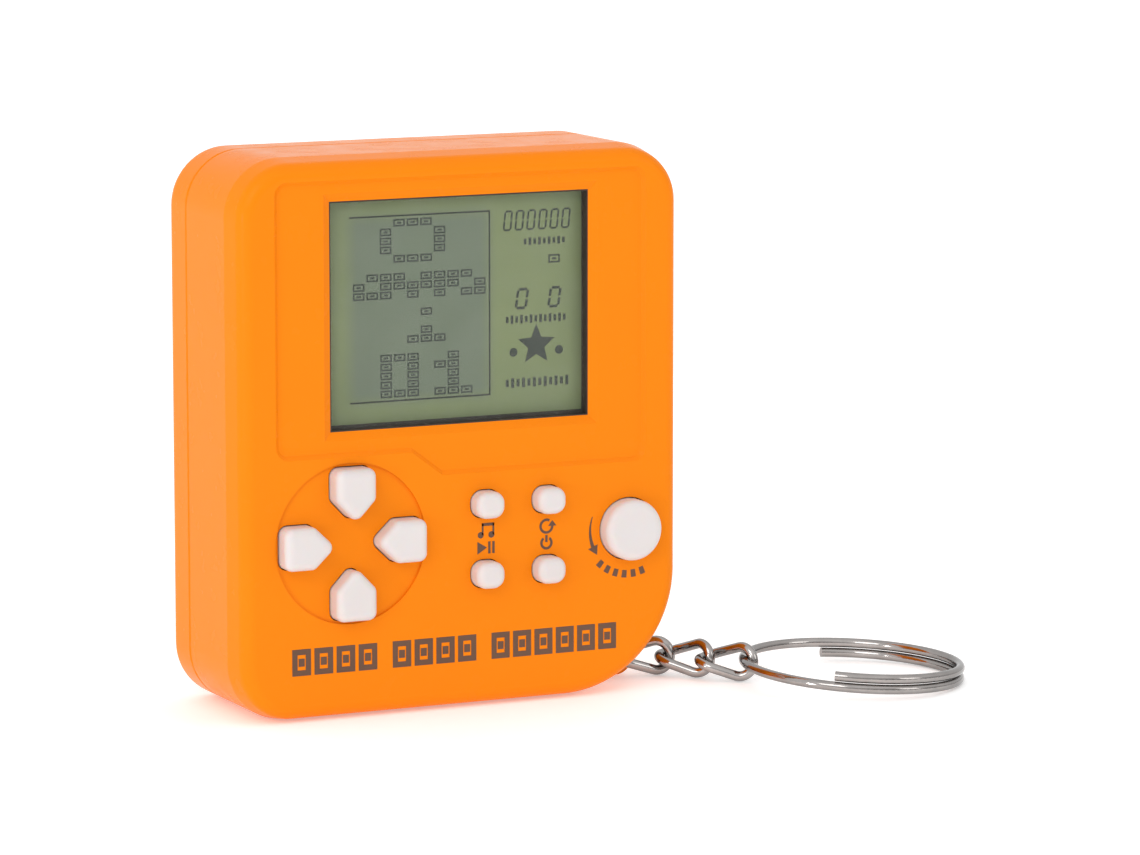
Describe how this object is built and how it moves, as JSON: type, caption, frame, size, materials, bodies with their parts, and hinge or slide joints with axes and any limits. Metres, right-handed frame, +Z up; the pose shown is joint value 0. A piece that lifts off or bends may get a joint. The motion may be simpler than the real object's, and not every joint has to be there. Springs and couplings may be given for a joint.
{
  "type": "handheld lcd game",
  "caption": "Pocket-size brick game with a segment display, rubber keys, a battery door at the back and a short chain with a split ring.",
  "frame": {"origin": "middle of the flat bottom face that the case stands on, halfway through the case's depth", "axes": "+Z up, -Y out of the front face towards the player, +X to the player's right, where the key chain leaves the case"},
  "size_m": [0.0861, 0.038, 0.062],
  "materials": {
    "case_orange": "injection-moulded satin-gloss orange plastic",
    "key_white": "soft satin white silicone",
    "silicone_grey": "matt translucent grey silicone with carbon pills",
    "screw_steel": "zinc-plated steel",
    "chain_nickel": "bright nickel plate over steel wire",
    "lens_clear": "clear acrylic window",
    "polariser": "grey-green polarising film",
    "lcd_glass": "display glass with printed segments",
    "reflector": "grey-green reflective film",
    "foam_white": "closed-cell foam",
    "zebra_rubber": "striped conductive rubber",
    "board_green": "green solder mask on fibreglass",
    "epoxy_black": "black epoxy",
    "resistor_black": "black film resistors with tinned ends",
    "capacitor_tan": "tan ceramic capacitors with tinned ends",
    "capacitor_sleeve": "dark sleeve over an aluminium can",
    "cell_steel": "stainless steel can",
    "contact_nickel": "nickel-plated spring strip",
    "buzzer_brass": "thin brass disc",
    "buzzer_ceramic": "silvered ceramic",
    "wire_red": "red insulation",
    "wire_black": "black insulation"
  },
  "bodies": {
    "case": {"battery_cell_1": "cell_steel", "battery_cell_2": "cell_steel", "battery_wire_black": "wire_black", "battery_wire_red": "wire_red", "board_screws": "screw_steel", "button_mat": "silicone_grey", "buzzer_ceramic": "buzzer_ceramic", "buzzer_disc": "buzzer_brass", "buzzer_wire_black": "wire_black", "buzzer_wire_red": "wire_red", "case_screws": "screw_steel", "ceramic_capacitors": "capacitor_tan", "chip_blob": "epoxy_black", "circuit_board": "board_green", "contact_negative": "contact_nickel", "contact_positive": "contact_nickel", "dome_down": "silicone_grey", "dome_left": "silicone_grey", "dome_music": "silicone_grey", "dome_power": "silicone_grey", "dome_reset": "silicone_grey", "dome_right": "silicone_grey", "dome_rotate": "silicone_grey", "dome_start_pause": "silicone_grey", "dome_up": "silicone_grey", "dpad_mat": "silicone_grey", "electrolytic_capacitor": "capacitor_sleeve", "front_case": "case_orange", "lcd_foam_pads": "foam_white", "lcd_front_glass": "lcd_glass", "lcd_polariser": "polariser", "lcd_rear_glass": "lcd_glass", "lcd_reflector": "reflector", "rear_case": "case_orange", "resistors": "resistor_black", "screen_lens": "lens_clear", "zebra_strip": "zebra_rubber"},
    "key_up_body": {"key_up": "key_white"},
    "key_down_body": {"key_down": "key_white"},
    "key_left_body": {"key_left": "key_white"},
    "key_right_body": {"key_right": "key_white"},
    "key_music_body": {"key_music": "key_white"},
    "key_start_pause_body": {"key_start_pause": "key_white"},
    "key_reset_body": {"key_reset": "key_white"},
    "key_power_body": {"key_power": "key_white"},
    "key_rotate_body": {"key_rotate": "key_white"},
    "door_body": {"battery_door": "case_orange", "battery_door_screw": "screw_steel", "contact_bridge": "contact_nickel"},
    "link_1_body": {"chain_link_1": "chain_nickel"},
    "link_2_body": {"chain_link_2": "chain_nickel"},
    "link_3_body": {"chain_link_3": "chain_nickel"},
    "ring_body": {"split_ring": "chain_nickel"}
  },
  "joints": [
    {"name": "key_up_press", "type": "slide", "parent": "case", "child": "key_up_body", "axis": [0, 1, 0], "range_m": [0, 0.0009], "stiffness_N_per_m": 350, "deforming": ["dome_up"]},
    {"name": "key_down_press", "type": "slide", "parent": "case", "child": "key_down_body", "axis": [0, 1, 0], "range_m": [0, 0.0009], "stiffness_N_per_m": 350, "deforming": ["dome_down"]},
    {"name": "key_left_press", "type": "slide", "parent": "case", "child": "key_left_body", "axis": [0, 1, 0], "range_m": [0, 0.0009], "stiffness_N_per_m": 350, "deforming": ["dome_left"]},
    {"name": "key_right_press", "type": "slide", "parent": "case", "child": "key_right_body", "axis": [0, 1, 0], "range_m": [0, 0.0009], "stiffness_N_per_m": 350, "deforming": ["dome_right"]},
    {"name": "key_music_press", "type": "slide", "parent": "case", "child": "key_music_body", "axis": [0, 1, 0], "range_m": [0, 0.0009], "stiffness_N_per_m": 350, "deforming": ["dome_music"]},
    {"name": "key_start_pause_press", "type": "slide", "parent": "case", "child": "key_start_pause_body", "axis": [0, 1, 0], "range_m": [0, 0.0009], "stiffness_N_per_m": 350, "deforming": ["dome_start_pause"]},
    {"name": "key_reset_press", "type": "slide", "parent": "case", "child": "key_reset_body", "axis": [0, 1, 0], "range_m": [0, 0.0009], "stiffness_N_per_m": 350, "deforming": ["dome_reset"]},
    {"name": "key_power_press", "type": "slide", "parent": "case", "child": "key_power_body", "axis": [0, 1, 0], "range_m": [0, 0.0009], "stiffness_N_per_m": 350, "deforming": ["dome_power"]},
    {"name": "key_rotate_press", "type": "slide", "parent": "case", "child": "key_rotate_body", "axis": [0, 1, 0], "range_m": [0, 0.0009], "stiffness_N_per_m": 350, "deforming": ["dome_rotate"]},
    {"name": "battery_door_lift", "type": "slide", "parent": "case", "child": "door_body", "axis": [0, 1, 0], "range_m": [0, 0.009]},
    {"name": "link_1_swing", "type": "hinge", "parent": "case", "child": "link_1_body", "pos_m": [0.02351, 0, 0.00225], "axis": [0, 1, 0], "range_deg": [-10, 85]},
    {"name": "link_2_swing", "type": "hinge", "parent": "link_1_body", "child": "link_2_body", "pos_m": [0.02957, -0.00221, 0.00225], "axis": [0, 0, 1], "range_deg": [-20, 40]},
    {"name": "link_3_swing", "type": "hinge", "parent": "link_2_body", "child": "link_3_body", "pos_m": [0.03247, -0.00658, 0.00225], "axis": [0, 0, 1], "range_deg": [-25, 40]},
    {"name": "ring_swing", "type": "hinge", "parent": "link_3_body", "child": "ring_body", "pos_m": [0.03605, -0.01042, 0.00225], "axis": [0, 0, 1], "range_deg": [-25, 15]}
  ]
}
